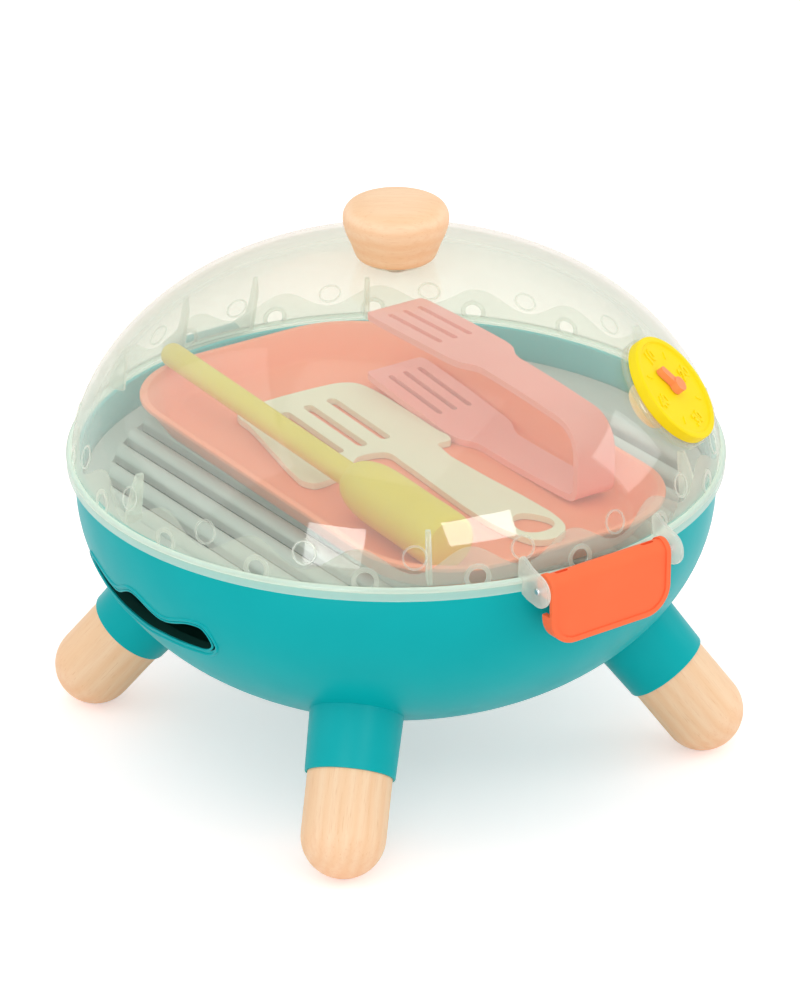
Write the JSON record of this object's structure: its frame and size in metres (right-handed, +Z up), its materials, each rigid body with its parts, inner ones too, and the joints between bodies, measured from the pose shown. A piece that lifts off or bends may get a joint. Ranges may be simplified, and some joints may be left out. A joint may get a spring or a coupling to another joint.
{
  "type": "toy barbecue grill",
  "caption": "Toy barbecue grill: round bowl on splayed wooden legs, clear hinged lid with knob, dial and latch, with grate, tray and play tools inside.",
  "frame": {"origin": "on the floor, under the bowl's centre", "axes": "+Z up, the latch faces -Y, the hinge is at +Y, the vents face +X and -X"},
  "size_m": [0.32, 0.3479, 0.2813],
  "materials": {
    "teal": "satin",
    "wood": "matte, unvarnished",
    "screws": "satin",
    "steel": "satin",
    "clear": "polished, tinted mint",
    "orange": "satin",
    "yellow": "satin",
    "cream": "satin",
    "grey": "satin",
    "coral": "satin",
    "beige": "satin",
    "pink": "satin",
    "olive_yellow": "satin"
  },
  "bodies": {
    "base": {"bowl": "teal", "catch": "teal", "leg_front_right": "wood", "leg_front_left": "wood", "leg_rear_left": "wood", "leg_rear_right": "wood", "leg_screw_front_right": "screws", "leg_screw_front_left": "screws", "leg_screw_rear_left": "screws", "leg_screw_rear_right": "screws", "hinge_pin": "steel"},
    "lid": {"lid": "clear", "knob": "wood", "knob_screw": "screws", "latch_pin": "steel", "dial": "yellow"},
    "latch": {"latch": "orange"},
    "pointer": {"dial_pointer": "orange", "dial_hub": "cream"},
    "grate": {"grate": "grey"},
    "tray": {"tray": "coral"},
    "spatula": {"spatula": "beige"},
    "tongs": {"tongs_lower_arm": "pink"},
    "tongs_upper": {"tongs_upper_arm": "pink"},
    "brush": {"brush_stick": "olive_yellow", "brush_barrel": "olive_yellow"}
  },
  "joints": [
    {"name": "lid_hinge", "type": "hinge", "parent": "base", "child": "lid", "pos_m": [0, 0.168, 0.147], "axis": [-1, 0, 0], "range_deg": [0, 100]},
    {"name": "latch_hinge", "type": "hinge", "parent": "lid", "child": "latch", "pos_m": [0, -0.166, 0.1518], "axis": [-1, 0, 0], "range_deg": [0, 110]},
    {"name": "pointer_turn", "type": "hinge", "parent": "lid", "child": "pointer", "pos_m": [0.08156, -0.10902, 0.19959], "axis": [0.4519, -0.6041, 0.6564], "continuous": true},
    {"name": "grate_lift", "type": "slide", "parent": "base", "child": "grate", "axis": [0, 0, 1], "range_m": [0, 0.005]},
    {"name": "tray_lift", "type": "slide", "parent": "grate", "child": "tray", "axis": [0, 0, 1], "range_m": [0, 0.0045]},
    {"name": "spatula_lift", "type": "slide", "parent": "tray", "child": "spatula", "axis": [0, 0, 1], "range_m": [0, 0.006]},
    {"name": "tongs_lift", "type": "slide", "parent": "tray", "child": "tongs", "axis": [0, 0, 1], "range_m": [0, 0.008]},
    {"name": "tongs_squeeze", "type": "hinge", "parent": "tongs", "child": "tongs_upper", "pos_m": [0.05155, -0.09025, 0.1641], "axis": [-0.9995, 0.0314, 0], "range_deg": [0, 8.5], "stiffness_Nm_per_rad": 0.25, "springref_deg": -14.32},
    {"name": "brush_lift", "type": "slide", "parent": "tray", "child": "brush", "axis": [0, 0, 1], "range_m": [0, 0.004]}
  ]
}
